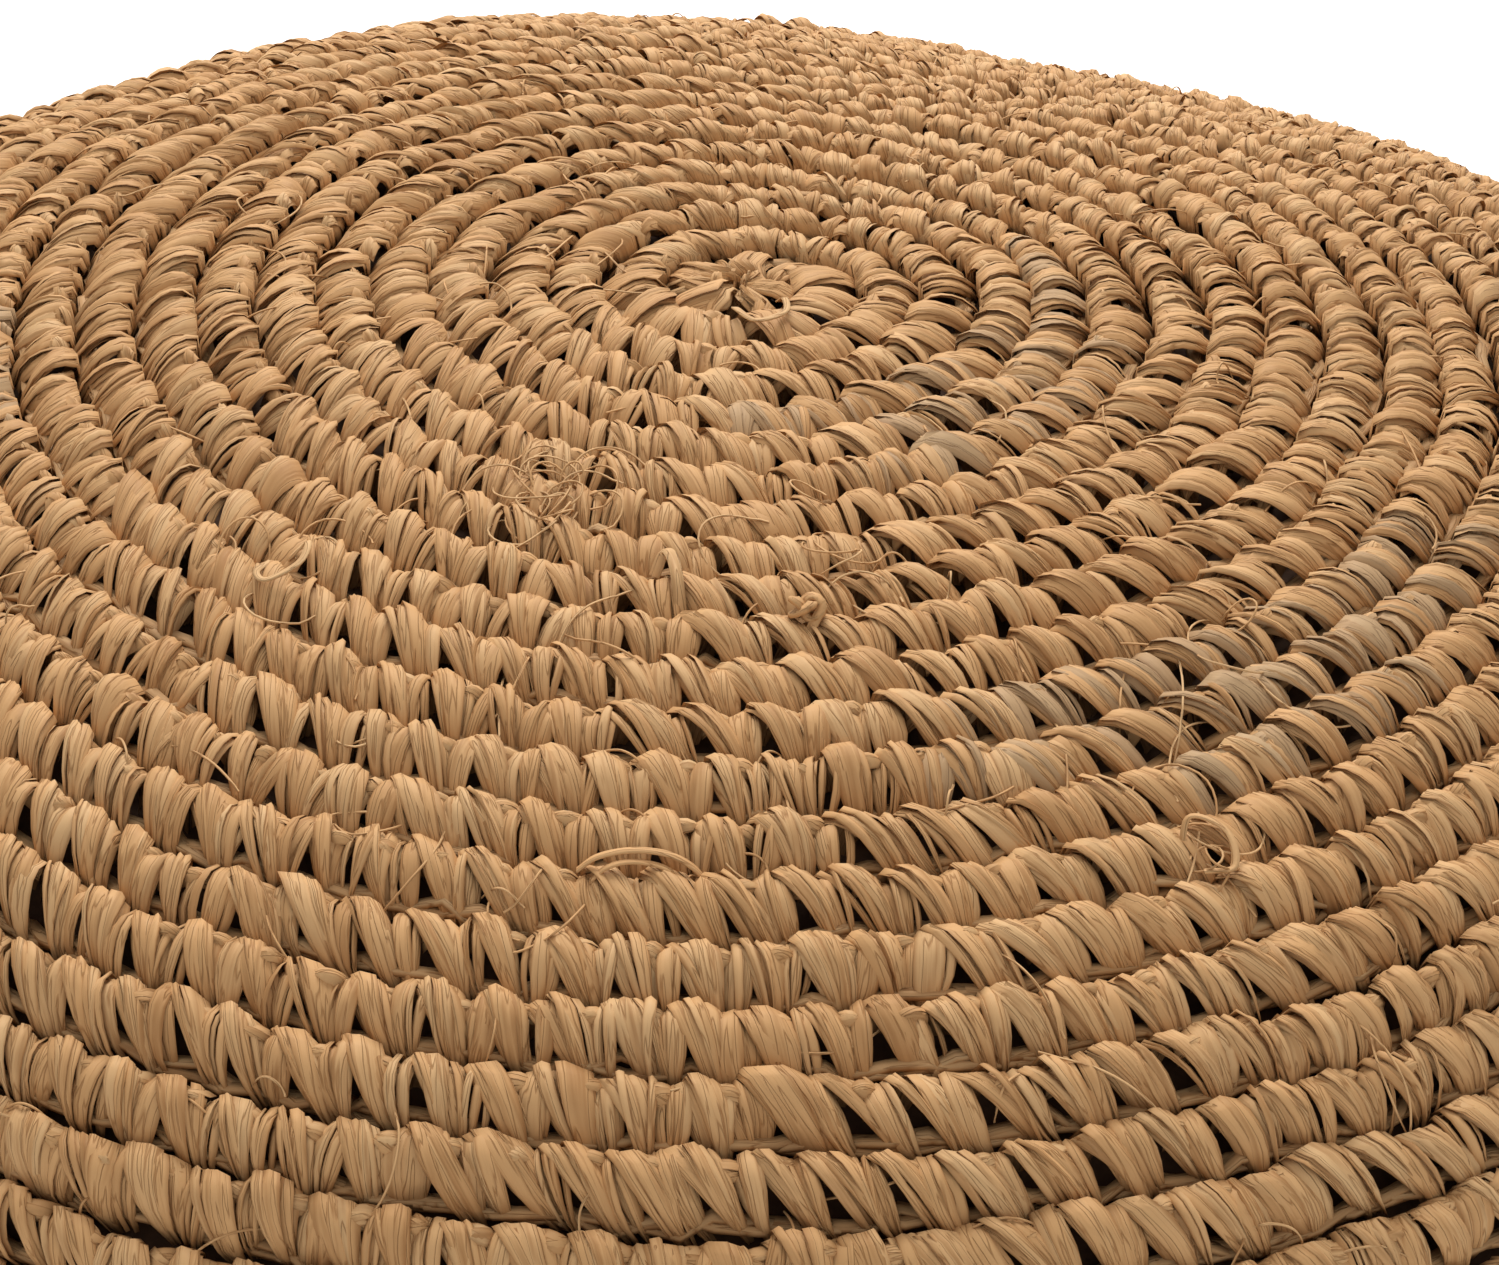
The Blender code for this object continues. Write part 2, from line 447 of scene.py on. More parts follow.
LEAF_INPUTS = [
    ("Stitches", "NodeSocketGeometry"),
    ("Section", "NodeSocketObject"),
    ("Material", "NodeSocketMaterial"),
    ("Round Pitch", "NodeSocketFloat"),
    ("Stitch Pitch", "NodeSocketFloat"),
    ("Leaves", "NodeSocketInt"),
    ("Bends", "NodeSocketInt"),
    ("Leaf Thickness", "NodeSocketFloat"),
    ("Unevenness", "NodeSocketFloat"),
    ("Hand", "NodeSocketFloat"),
    ("Seed", "NodeSocketInt"),
]
BAR_EDGE = 0.866  # half the width of a three-sided bar whose radius is 1


def straight_leaves(steps, given):
    """Puts straight leaves on every stitch: three-sided bars along Z, from -1 to 1, that can bend."""
    copies = steps.node(
        "GeometryNodeDuplicateElements",
        {"Geometry": given["Stitches"], "Amount": given["Leaves"]},
        domain="POINT",
    )
    number = Field(steps.tree, copies.outputs["Duplicate Index"])
    points = steps.store(Field(steps.tree, copies.outputs["Geometry"]), "part", number, "INT")
    points = steps.store(points, "leaf", steps.out("GeometryNodeInputIndex"), "INT")
    bar = {"Vertices": 3, "Side Segments": given["Bends"], "Radius": 1.0, "Depth": 2.0}
    bar = steps.out("GeometryNodeMeshCylinder", bar, fill_type="NGON")
    leaves = steps.out("GeometryNodeInstanceOnPoints", {"Points": points, "Instance": bar})
    return steps.out("GeometryNodeRealizeInstances", {"Geometry": leaves})


def on_the_pad(steps, given, outwards, sideways, upwards):
    """The place of a point that lies outwards of its stitch and up, in rounds, and sideways, in metres."""
    section = steps.out("GeometryNodeObjectInfo", {"Object": given["Section"]}, "Geometry")
    distance = (steps.named("turn") + outwards) * given["Round Pitch"]
    distance = distance.sum("MAXIMUM", 0.0)
    sample = steps.node("GeometryNodeSampleCurve", {"Curves": section, "Length": distance}, mode="LENGTH")
    radius, _, height = steps.split(Field(steps.tree, find_slot(sample.outputs, "Position")))
    radial_way, _, height_way = steps.split(Field(steps.tree, find_slot(sample.outputs, "Tangent")))
    hand = given["Hand"]
    angle = (steps.named("angle") + sideways / radius.sum("MAXIMUM", given["Round Pitch"] * 0.7)) * hand
    turned = steps.join(radius * angle.sum("COSINE"), radius * angle.sum("SINE"), height)
    lumps = steps.out("ShaderNodeTexNoise", {"Vector": turned, "Scale": 28.0, "Detail": 2.0}, "Fac") - 0.5
    lift = upwards * given["Round Pitch"] + lumps * given["Unevenness"]
    radius = radius - lift * height_way * hand
    height = height + lift * radial_way * hand
    return steps.join(radius * angle.sum("COSINE"), radius * angle.sum("SINE"), height)


WIDEST_APART = 0.17


def drifting(steps, scale, seed):
    """A smooth noise about 0 over the pad, the same for a whole stitch. The scale is per round."""
    around = steps.named("angle")
    turn = steps.named("turn")
    spot = steps.join(around.sum("COSINE") * turn, around.sum("SINE") * turn, seed)
    return steps.out("ShaderNodeTexNoise", {"Vector": spot, "Scale": scale, "Detail": 2.0}, "Fac") - 0.5


def waver(steps):
    """How far a round has strayed from the spiral at a stitch, in rounds."""
    return drifting(steps, 0.4, 0.0) * 0.5


def apart(steps):
    """How far apart a stitch's legs come up, in stitches: it changes with the tension of the hand."""
    tension = drifting(steps, 0.13, 7.0) * 0.8 + 0.06
    return tension.sum("MAXIMUM", 0.0).sum("MINIMUM", WIDEST_APART)


SHARP_EDGE = 1.5  # the angle in radians past which a leaf's long edge is shaded sharp


def dressed_leaves(steps, given, leaves, place, chart, side, upwards):
    """Stores what the material reads, moves the leaves to their place and shades them."""
    leaf = steps.named("leaf", "INT")
    stitch = steps.named("stitch", "INT")
    tone = steps.chance(0.0, 0.6, leaf, given["Seed"] + 13)
    tone = tone + steps.chance(0.0, 0.4, stitch, given["Seed"] + 14)
    grey_leaf = steps.chance(0.0, 1.0, leaf, given["Seed"] + 19).sum("GREATER_THAN", 0.5)
    leaves = steps.store(leaves, "UVMap", chart, "FLOAT2", "CORNER")
    leaves = steps.store(leaves, "tone", tone)
    leaves = steps.store(leaves, "greyed", steps.named("grey") * grey_leaf)
    leaves = steps.store(leaves, "edge", side)
    # how high the leaf lies over the mean surface, which the material turns into painted shade where it is
    # low
    leaves = steps.store(leaves, "depth", upwards)
    leaves = steps.store(leaves, "grain", steps.chance(0.0, 100.0, leaf, given["Seed"] + 15))
    leaves = steps.out("GeometryNodeSetPosition", {"Geometry": leaves, "Position": place})
    leaves = steps.out("GeometryNodeSetShadeSmooth", {"Geometry": leaves, "Shade Smooth": True})
    bend = steps.out("GeometryNodeInputMeshEdgeAngle", output="Unsigned Angle")
    sharp = {"Geometry": leaves, "Selection": bend.sum("GREATER_THAN", SHARP_EDGE), "Shade Smooth": False}
    return steps.out("GeometryNodeSetShadeSmooth", sharp, domain="EDGE")


# A leg seen from the side, in round pitches: (outwards, up). It comes up from inside the round before,
# folds over the crest and runs down under the next round.
LEG_ROUTE = [
    (0.22, -0.34),
    (0.08, -0.20),
    (-0.04, 0.00),
    (0.02, 0.17),
    (0.17, 0.28),
    (0.36, 0.30),
    (0.56, 0.24),
    (0.76, 0.11),
    (0.93, -0.07),
    (1.05, -0.28),
]
LEFT_LEG_WIDTH = [(0.0, 0.34), (0.25, 0.48), (0.45, 0.60), (0.62, 0.60), (0.82, 0.42), (1.0, 0.24)]
RIGHT_LEG_WIDTH = [(0.0, 0.50), (0.22, 0.78), (0.38, 0.84), (0.58, 0.70), (0.80, 0.45), (1.0, 0.23)]
# How far each leg has gone from its place at the inner end of the stitch to its foot, along its length
LEFT_LEG_SWING = [(0.0, 0.0), (0.35, 0.02), (0.6, 0.30), (1.0, 1.0)]
RIGHT_LEG_SWING = [(0.0, 0.0), (0.2, 0.09), (0.42, 0.36), (0.62, 0.64), (1.0, 1.0)]
# How much higher the right leg's start lies, where it wraps over the left leg, in tenths of a round
RIGHT_LEG_WRAP = [(0.0, 0.5), (0.12, 0.9), (0.22, 1.0), (0.38, 0.3), (0.5, 0.0), (1.0, 0.0)]


def rounds_tree():
    """Crochets strands of leaf over a section turned about Z."""
    legs = [
        ("Leg Route", "NodeSocketObject"),
        ("Left Leaves", "NodeSocketInt"),
        ("Narrowest Leaf", "NodeSocketFloat"),
    ]
    tree, steps, given = new_tree("Crocheted rounds", LEAF_INPUTS + legs)
    seed = given["Seed"]
    leaves = straight_leaves(steps, given)
    thick, y, z = steps.split(steps.out("GeometryNodeInputPosition"))
    side = y / -BAR_EDGE
    along = z * 0.5 + 0.5 - (z * math.pi).sum("SINE") * 0.05  # more of the leaf's faces at its crest
    leaf = steps.named("leaf", "INT")
    stitch = steps.named("stitch", "INT")
    right = steps.named("part", "INT").sum("GREATER_THAN", given["Left Leaves"] - 0.5)

    def of_leaf(low, high, number):
        return steps.chance(low, high, leaf, seed + number)

    def of_leg(low, high, number):
        return steps.chance(low, high, stitch * 2.0 + right, seed + number)

    # Width and place of the leaf across its leg, and its fold
    width = steps.mix(right, steps.curve(along, LEFT_LEG_WIDTH), steps.curve(along, RIGHT_LEG_WIDTH))
    width = width * 0.5 * of_leg(0.86, 1.14, 1) * steps.mix(along, 1.0, steps.named("fan"))
    rank = steps.named("part", "INT") - right * given["Left Leaves"]
    leaves_in_leg = steps.mix(right, given["Left Leaves"] * 1.0, given["Leaves"] - given["Left Leaves"])
    rank = (rank + 0.5) / leaves_in_leg * 2.0 - 1.0
    share = of_leaf(0.0, 1.0, 2)
    share = share * share * 0.55 + given["Narrowest Leaf"]
    place = rank * (1.10 - share) + of_leaf(-0.22, 0.22, 3)
    stray = of_leaf(-1.0, 1.0, 4)
    drift = (stray * stray * stray * 1.5 + of_leg(-0.5, 0.5, 17)) * (along - 0.5)
    side = side + of_leaf(-0.6, 0.6, 16) * (1.0 - side.sum("ABSOLUTE"))
    across = place + drift + side * share

    # The middle of the leg, from its crest to its foot
    crest = steps.mix(right, 0.25 - apart(steps), 0.28 + 0.6 * apart(steps))
    crest = crest * steps.named("span") + of_leg(-0.06, 0.06, 5)
    foot = steps.mix(right, steps.named("foot_left"), steps.named("foot_right"))
    foot = foot + of_leg(-0.04, 0.04, 6)
    swing = steps.mix(right, steps.curve(along, LEFT_LEG_SWING), steps.curve(along, RIGHT_LEG_SWING))
    bow = (along * math.pi).sum("SINE") * of_leg(-0.09, 0.09, 7)
    sideways = steps.mix(swing, crest, foot) + bow + width * across
    dome = (sideways / steps.named("span") * 2.0 - 1.0) * (1.0 - along)

    # The side view
    route = steps.out("GeometryNodeObjectInfo", {"Object": given["Leg Route"]}, "Geometry")
    sample = steps.node("GeometryNodeSampleCurve", {"Curves": route, "Factor": along}, mode="FACTOR")
    out_at, up_at, _ = steps.split(Field(tree, find_slot(sample.outputs, "Position")))
    out_way, up_way, _ = steps.split(Field(tree, find_slot(sample.outputs, "Tangent")))
    body = given["Leaf Thickness"] * of_leaf(0.5, 1.7, 8) / given["Round Pitch"]
    level = thick * body + of_leaf(-0.08, 0.06, 9)
    tall = steps.mix(right, 0.92, 1.06) * of_leg(0.86, 1.14, 10)
    roundness = across * across * -0.08 - dome * dome * 0.15
    roll = (of_leaf(-0.3, 0.3, 11) + of_leaf(-1.0, 1.0, 18) * (along - 0.5)) * side * share * width
    wrap = steps.curve(along, RIGHT_LEG_WRAP) * right * 0.1
    outwards = out_at * steps.named("reach") - up_way * level + dome * dome * 0.09
    outwards = outwards + waver(steps) + steps.chance(-0.06, 0.06, stitch, seed + 12)
    upwards = up_at * tall + wrap + roundness + roll + out_way * level

    place = on_the_pad(steps, given, outwards, sideways * given["Stitch Pitch"], upwards)
    millimetres = 1000.0 * given["Stitch Pitch"]
    chart = steps.join(side * share * width * millimetres, along * 1.7 * millimetres, 0.0)
    leaves = dressed_leaves(steps, given, leaves, place, chart, side, upwards)
    close_tree(tree, leaves, given["Material"])
    return tree


def loops_tree():
    """The loop of each stitch that runs along the round, from its right leg to the next left leg."""
    tree, steps, given = new_tree("Loops beside the stitches", LEAF_INPUTS)
    seed = given["Seed"]
    leaves = straight_leaves(steps, given)
    thick, y, z = steps.split(steps.out("GeometryNodeInputPosition"))
    side = y / -BAR_EDGE
    along = z * 0.5 + 0.5
    arch = 1.0 - z * z
    leaf = steps.named("leaf", "INT")
    stitch = steps.named("stitch", "INT")
    rank = (steps.named("part", "INT") + 0.5) / given["Leaves"] * 2.0 - 1.0
    share = steps.chance(0.30, 0.62, leaf, seed + 1)
    across = rank * (1.0 - share) + side * share + steps.chance(-0.5, 0.5, leaf, seed + 2) * z
    half_width = steps.chance(0.17, 0.23, stitch, seed + 3) * (arch * 0.25 + 0.75)
    body = given["Leaf Thickness"] / given["Round Pitch"]
    level = thick * body + steps.chance(-0.03, 0.03, leaf, seed + 4)
    top = steps.chance(0.18, 0.32, stitch, seed + 5)
    upwards = top + arch * 0.14 - 0.14 - across * across * 0.20 + level
    outwards = 0.20 + across * half_width + steps.chance(-0.04, 0.04, stitch, seed + 6) + waver(steps)
    shift = 0.5 * apart(steps)
    start = steps.chance(0.52, 0.66, stitch, seed + 7) * steps.named("span") + shift
    sideways = steps.mix(along, start, steps.named("span") + steps.chance(0.05, 0.20, stitch, seed + 8))

    place = on_the_pad(steps, given, outwards, sideways * given["Stitch Pitch"], upwards)
    chart = steps.join(side * share * half_width * 1000.0 * given["Round Pitch"], along * 5.0, 0.0)
    leaves = dressed_leaves(steps, given, leaves, place, chart, side, upwards)
    close_tree(tree, leaves, given["Material"])
    return tree


# ---------------------------------------------------------------- materials


def leaf_group():
    """Colour, roughness and height of a dried raffia leaf, streaked along its length, with painted shade
    where the leaf lies deep in the work.
    """
    group = bpy.data.node_groups.new("raffia_leaf", "ShaderNodeTree")
    for label, kind in (
        ("Straw", "NodeSocketColor"),
        ("Honey", "NodeSocketColor"),
        ("Pale", "NodeSocketColor"),
        ("Grey", "NodeSocketColor"),
        ("Shade", "NodeSocketColor"),
        ("Streaks per mm", "NodeSocketFloat"),
    ):
        group.interface.new_socket(label, in_out="INPUT", socket_type=kind)
    for label, kind in (
        ("Color", "NodeSocketColor"),
        ("Roughness", "NodeSocketFloat"),
        ("Height", "NodeSocketFloat"),
    ):
        group.interface.new_socket(label, in_out="OUTPUT", socket_type=kind)
    steps = Steps(group)
    entry = group.nodes.new("NodeGroupInput")
    given = {socket.name: Field(group, socket) for socket in entry.outputs if socket.name}

    def reading(name):
        return Field(group, steps.node("ShaderNodeAttribute", attribute_name=name).outputs["Fac"])

    uv = steps.node("ShaderNodeUVMap", uv_map="UVMap")
    across, along, _ = steps.split(Field(group, uv.outputs["UV"]))
    grain = reading("grain")
    tone = reading("tone")
    edge = reading("edge")
    rate = given["Streaks per mm"]
    fine = steps.join(across * rate, along * rate * 0.05, grain)
    streaks = steps.out("ShaderNodeTexNoise", {"Vector": fine, "Scale": 1.0, "Detail": 3.0}, "Fac")
    broad = steps.join(across * rate * 0.35, along * rate * 0.035, grain)
    creases = steps.out("ShaderNodeTexNoise", {"Vector": broad, "Scale": 1.0, "Detail": 1.0}, "Fac")

    def blend(share, first, second):
        inputs = {"Factor": share, "A": first, "B": second}
        return steps.out("ShaderNodeMix", inputs, "Result", data_type="RGBA")

    def between(value, low, high):
        inputs = {"Value": value, "From Min": low, "From Max": high}
        return steps.out("ShaderNodeMapRange", inputs)

    veins = between((creases - 0.5).sum("ABSOLUTE"), 0.030, 0.0)
    edge_tint_and_shade = between(edge.sum("ABSOLUTE"), 0.72, 1.0)
    colour = blend(between(tone, 0.45, 1.0) * 0.9, given["Straw"], given["Pale"])
    colour = blend(between(tone, 0.35, 0.0) * 0.35, colour, given["Honey"])
    colour = blend(between(creases, 0.55, 0.75) * 0.5, colour, given["Honey"])
    colour = blend(between(streaks, 0.55, 0.75) * 0.35, colour, given["Honey"])
    colour = blend(veins * 0.65, colour, given["Honey"])
    # darker rims along a leaf's long edges: partly the leaf's own darker edge colour, partly painted shade
    # where leaves overlap
    colour = blend(edge_tint_and_shade * 0.6, colour, given["Honey"])
    colour = blend(reading("greyed") * 0.5, colour, given["Grey"])
    # painted shade: darker towards the Shade colour where a leaf lies below the mean surface of the work,
    # deep between the rounds
    colour = blend(between(reading("depth"), 0.02, -0.30) * 0.65, colour, given["Shade"])
    leave = group.nodes.new("NodeGroupOutput")
    group.links.new(colour.socket, leave.inputs["Color"])
    roughness = streaks * 0.25 + 0.52
    group.links.new(roughness.socket, leave.inputs["Roughness"])
    height = streaks * 0.3 + creases * 0.4 - veins * 0.4 - edge * edge * 0.5
    group.links.new(height.socket, leave.inputs["Height"])
    return group


# Dried raffia leaf, in linear colour
STRAW = (0.560, 0.317, 0.137)
HONEY = (0.27, 0.115, 0.034)
PALE = (0.605, 0.383, 0.187)
GREY = (0.32, 0.23, 0.14)
# painted shade, mixed in where a leaf lies deep between the rounds; not a colour of the leaf
PAINTED_SHADE = (0.11, 0.045, 0.014)


def raffia_material(group, name):
    material = bpy.data.materials.new(name)
    material.use_nodes = True
    tree = material.node_tree
    shader = tree.nodes["Principled BSDF"]
    leaf = tree.nodes.new("ShaderNodeGroup")
    leaf.node_tree = group
    colours = {"Straw": STRAW, "Honey": HONEY, "Pale": PALE, "Grey": GREY, "Shade": PAINTED_SHADE}
    for label, colour in colours.items():
        leaf.inputs[label].default_value = (*colour, 1.0)
    leaf.inputs["Streaks per mm"].default_value = 3.2
    bump = tree.nodes.new("ShaderNodeBump")
    bump.inputs["Strength"].default_value = 0.7
    bump.inputs["Distance"].default_value = 0.0004
    tree.links.new(leaf.outputs["Color"], shader.inputs["Base Color"])
    tree.links.new(leaf.outputs["Roughness"], shader.inputs["Roughness"])
    tree.links.new(leaf.outputs["Height"], bump.inputs["Height"])
    tree.links.new(bump.outputs["Normal"], shader.inputs["Normal"])
    shader.inputs["Specular IOR Level"].default_value = 0.16
    return material


def cloth_material(name, dark, light, threads_per_metre):
    """Plain-woven cloth on Object coordinates."""
    material = bpy.data.materials.new(name)
    material.use_nodes = True
    tree = material.node_tree
    steps = Steps(tree)
    shader = tree.nodes["Principled BSDF"]
    place = Field(tree, tree.nodes.new("ShaderNodeTexCoord").outputs["Object"])
    threads = {"Vector": place, "Scale": threads_per_metre, "Detail": 4.0}
    noise = steps.out("ShaderNodeTexNoise", threads, "Fac")
    ramp = steps.node("ShaderNodeValToRGB", {"Fac": noise})
    ramp.color_ramp.elements[0].color = (*dark, 1.0)
    ramp.color_ramp.elements[1].color = (*light, 1.0)
    tree.links.new(ramp.outputs["Color"], shader.inputs["Base Color"])
    bump = steps.node("ShaderNodeBump", {"Height": noise, "Strength": 0.4, "Distance": 0.0004})
    tree.links.new(bump.outputs["Normal"], shader.inputs["Normal"])
    shader.inputs["Roughness"].default_value = 0.95
    return material


# ---------------------------------------------------------------- stage


def camera():
    """Stands back from the crown and looks down on it, with the crown above the middle of the view."""
    distance = 0.4717
    elevation = math.radians(27.17)
    crown_above_axis = math.radians(6.33)
    crown_left_of_axis = math.radians(0.08)
    roll = math.radians(0.97)
    data = bpy.data.cameras.new("camera")
    data.sensor_width = 36.0
    data.lens = 73.9
    obj = add_object("camera", data)
    crown = Vector((0.0, 0.0, CROWN_TOP - CREST_HEIGHT))
    stand = crown + distance * Vector((0.0, -math.cos(elevation), math.sin(elevation)))
    to_crown = Matrix.Rotation(math.pi / 2 - elevation, 4, "X") @ Matrix.Rotation(roll, 4, "Z")
    aim = Matrix.Rotation(-crown_above_axis, 4, "X") @ Matrix.Rotation(-crown_left_of_axis, 4, "Y")
    obj.matrix_world = Matrix.Translation(stand) @ to_crown @ aim
    bpy.context.scene.camera = obj


def area_light(name, place, target, size, power):
    data = bpy.data.lights.new(name, "AREA")
    data.shape = "DISK"
    data.size = size
    data.energy = power
    obj = add_object(name, data)
    obj.location = place
    obj.rotation_euler = (Vector(target) - Vector(place)).to_track_quat("-Z", "Y").to_euler()


def stage():
    """A wide pale floor under the pad, a big soft light behind it, a faint one in front, a bright room."""
    half = 6.0
    corners = [(-half, -half, 0.0), (half, -half, 0.0), (half, half, 0.0), (-half, half, 0.0)]
    mesh = bpy.data.meshes.new("floor")
    mesh.from_pydata(corners, [], [(0, 1, 2, 3)])
    floor = add_object("floor", mesh)
    paper = bpy.data.materials.new("pale_floor")
    paper.use_nodes = True
    shader = paper.node_tree.nodes["Principled BSDF"]
    shader.inputs["Base Color"].default_value = (0.92, 0.92, 0.92, 1.0)
    shader.inputs["Roughness"].default_value = 0.8
    mesh.materials.append(paper)
    area_light("key", place=(-0.05, 1.05, 1.20), target=(0, 0.05, 0.05), size=1.1, power=29.5)
    area_light("fill", place=(0.5, -1.4, 1.1), target=(0, 0, 0.05), size=1.2, power=1.0)
    world = bpy.data.worlds.new("studio")
    world.use_nodes = True
    background = world.node_tree.nodes["Background"]
    background.inputs["Color"].default_value = (1.0, 1.0, 1.0, 1.0)
    background.inputs["Strength"].default_value = 0.71
    bpy.context.scene.world = world
    bpy.context.scene.view_settings.view_transform = "Standard"


# ---------------------------------------------------------------- the pad

FILL = 0.85  # the firmness handed to finish_piece as each soft piece's fill
BANDS_ON_TOP = 7
BANDS_OF_LOOPS = 2
BANDS_BELOW = 2
RIM_ROOM = 0.80  # rounds that each face leaves free for the stitches over the rim
# Leaves of a stitch, with the narrowest leaf as a share of its leg
LEAVES_ON_TOP = {"Leaves": 11, "Left Leaves": 4, "Bends": 8, "Narrowest Leaf": 0.18, "Seed": 12}
LEAVES_BELOW = {"Leaves": 4, "Left Leaves": 2, "Bends": 6, "Narrowest Leaf": 0.45, "Seed": 10}
LEAVES_IN_LOOP = {"Leaves": 3, "Bends": 5, "Seed": 23}
LEAVES_ON_RIM = {"Leaves": 5, "Left Leaves": 2, "Bends": 7, "Narrowest Leaf": 0.35, "Seed": 31}


def finish_piece(piece, slot, *nodes, fill=None):
    """Settles a piece, hangs it on the root body and hides the parts it stands for."""
    settle(piece)
    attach(piece, "root")
    if nodes:
        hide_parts(*nodes)


def worked_bands(name, node, tree, section, values, count, settings):
    """Crochets a face of the pad in bands of rounds, each a piece of its own."""
    guide = line_object(name + "_section", section_points(section))
    edges = np.linspace(0, len(values["turn"]), count + 1).astype(int)
    for band, (first, last) in enumerate(zip(edges[:-1], edges[1:])):
        part = {label: numbers[first:last] for label, numbers in values.items()}
        stitches = stitch_points("stitches", part)
        piece = run_tree(f"{name}_{band + 1}", tree, stitches, {"Section": guide, **settings})
        bpy.data.objects.remove(stitches)
        finish_piece(piece, "raffia", node, fill=FILL)
    bpy.data.objects.remove(guide)


def section_points(section):
    return [(radius, 0.0, height) for radius, height in zip(*section)]


def leg_route(name, points, count):
    """A guide that a tree reads as the side view of a leg."""
    return line_object(name, [(out, up, 0.0) for out, up in smooth_line(points, count)])


# How many points of each face's section, counted from the rim, the joining round lies on
RIM_POINTS_ON_TOP = 80
RIM_POINTS_BELOW = 60
# A stitch over the rim from the side, in round pitches: (towards the lower face, outwards)
RIM_ROUTE = [
    (-0.85, -0.30),
    (-0.70, 0.08),
    (-0.42, 0.36),
    (0.00, 0.46),
    (0.42, 0.36),
    (0.70, 0.08),
    (0.85, -0.30),
]
RIM_STITCH = 0.75  # of a stitch's pitch
RIM_FEET = (0.55, 0.85)  # how far a stitch slants, its left leg and its right


def rim_section():
    """Over the rim, from the upper face to the lower, along the mean surface of the work."""
    top = np.array(top_section())[:, -RIM_POINTS_ON_TOP:]
    below = np.array(underside_section())[:, -RIM_POINTS_BELOW:][:, ::-1]
    return np.concatenate([top, below], axis=1)


def rim_join(tree, raffia):
    """One round of slanting stitches that sews the two faces together over the rim."""
    section = rim_section()
    widest = section[0].argmax()
    middle = lengths_along(section)[widest] / ROUND_PITCH
    count = round(2 * math.pi * section[0][widest] / (STITCH_PITCH * RIM_STITCH))
    index = np.arange(count)
    same = np.ones(count)
    values = {
        "turn": same * middle,
        "angle": -2 * math.pi * index / count,
        "span": same * RIM_STITCH,
        "reach": same,
        "foot_left": same * RIM_FEET[0],
        "foot_right": same * RIM_FEET[1],
        "fan": same,
        "grey": same * 0.0,
        "stitch": index,
    }
    stitches = stitch_points("rim_points", values)
    guide = line_object("rim_section", section_points(section))
    route = leg_route("rim_route", RIM_ROUTE, 40)
    given = {"Section": guide, "Leg Route": route, **LEAVES_ON_RIM, **leaf_settings(raffia, 1.0)}
    piece = run_tree("rim_stitches", tree, stitches, given)
    for helper in (stitches, guide, route):
        bpy.data.objects.remove(helper)
    finish_piece(piece, "raffia", "rim_join", fill=FILL)


def leaf_settings(material, hand):
    """What all worked leaves share. The hand is 1 for the upper face and -1 for the lower."""
    return {
        "Material": material,
        "Round Pitch": ROUND_PITCH,
        "Stitch Pitch": STITCH_PITCH,
        "Leaf Thickness": 0.00018,
        "Unevenness": 0.004,
        "Hand": hand,
    }


def covers(raffia):
    """Both crocheted faces and the round that joins them. Only the upper face shows its loops."""
    legs = rounds_tree()
    loops = loops_tree()
    route = leg_route("leg_route", LEG_ROUTE, 80)
    for name, node, section, hand, bands, leaves in (
        ("raffia_rounds_top", "raffia_top", top_section(), 1.0, BANDS_ON_TOP, LEAVES_ON_TOP),
        ("raffia_rounds_below", "raffia_underside", underside_section(), -1.0, BANDS_BELOW, LEAVES_BELOW),
    ):
        last_round = lengths_along(section)[-1] / ROUND_PITCH - RIM_ROOM
        values = spiral(section, last_round)
        settings = {"Leg Route": route, **leaves, **leaf_settings(raffia, hand)}
        worked_bands(name, node, legs, section, values, bands, settings)
        if hand > 0:
            settings = {**LEAVES_IN_LOOP, **leaf_settings(raffia, hand)}
            worked_bands(name + "_loops", node, loops, section, values, BANDS_OF_LOOPS, settings)
        lay_strands(name + "_core", node, Face(section, hand), last_round, raffia)
    bpy.data.objects.remove(route)
    rim_join(legs, raffia)


